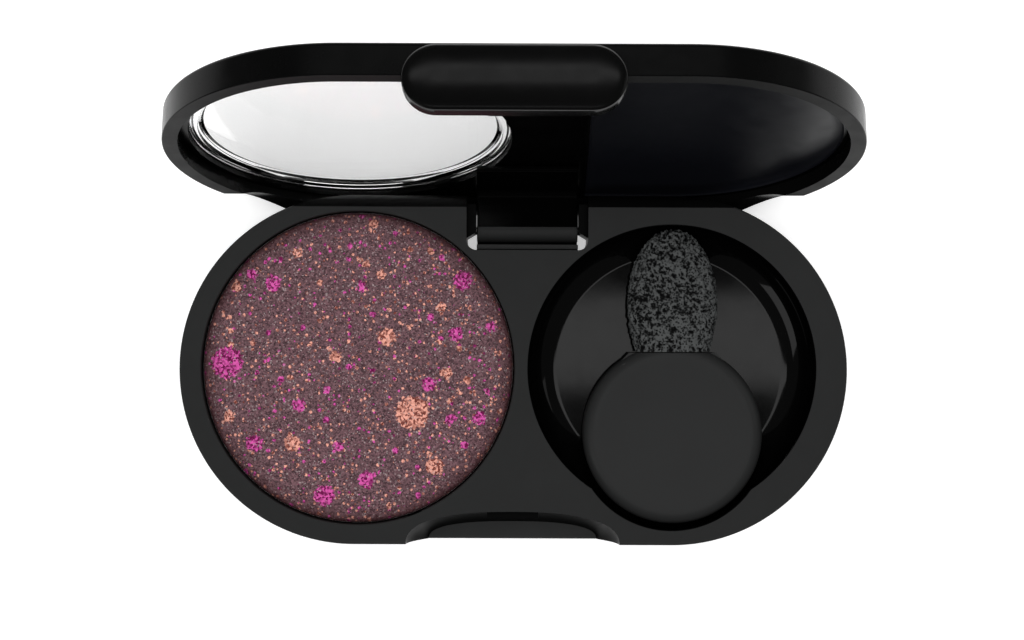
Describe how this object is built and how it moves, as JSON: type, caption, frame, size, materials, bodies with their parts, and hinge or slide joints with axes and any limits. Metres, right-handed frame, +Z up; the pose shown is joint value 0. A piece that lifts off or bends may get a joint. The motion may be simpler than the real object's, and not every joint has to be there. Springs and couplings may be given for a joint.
{
  "type": "eyeshadow palette",
  "caption": "Round-ended pocket compact, open: a domed eyeshadow in a pan, a sponge applicator in a well, and a hinged lid with a clear round window.",
  "frame": {"origin": "centre of the compact's underside, on the flat face that it rests on", "axes": "+X along the length from the powder to the applicator, +Y from the finger scoop to the hinge, +Z up"},
  "size_m": [0.0674, 0.0474, 0.0368],
  "materials": {
    "satin_body": "satin black moulding, polished black inside the applicator well",
    "lid_plastic": "glossy black moulding with a softly rounded edge",
    "gloss_black": "polished black moulding",
    "clear_window": "clear moulded plastic, polished on both faces",
    "pan_metal": "thin pressed metal, satin",
    "glue": "thin pale pressure-sensitive adhesive",
    "powder": "baked taupe-purple powder with magenta and copper flecks and a fine shimmer",
    "pin_steel": "drawn steel wire",
    "handle_plastic": "satin black moulding with a rounded edge",
    "sponge": "soft black open-cell foam with an uneven, porous surface",
    "label": "blank grey paper label, matt"
  },
  "bodies": {
    "base": {"base_body": "satin_body", "bottom_cover": "satin_body", "underside_label": "label", "pan_adhesive": "glue", "pan": "pan_metal", "eyeshadow": "powder", "hinge_pin": "pin_steel"},
    "lid": {"lid_shell": "lid_plastic", "lid_liner": "gloss_black", "lid_window": "clear_window", "hinge_arm": "gloss_black", "latch_tab": "lid_plastic"},
    "applicator": {"applicator_handle": "handle_plastic", "sponge_tip": "sponge"}
  },
  "joints": [
    {"name": "lid_hinge", "type": "hinge", "parent": "base", "child": "lid", "pos_m": [0.00137, 0.014, 0.00575], "axis": [-1, 0, 0], "range_deg": [-108, 0]},
    {"name": "applicator_lift", "type": "slide", "parent": "base", "child": "applicator", "axis": [0, 0, 1], "range_m": [0, 0.03]}
  ]
}
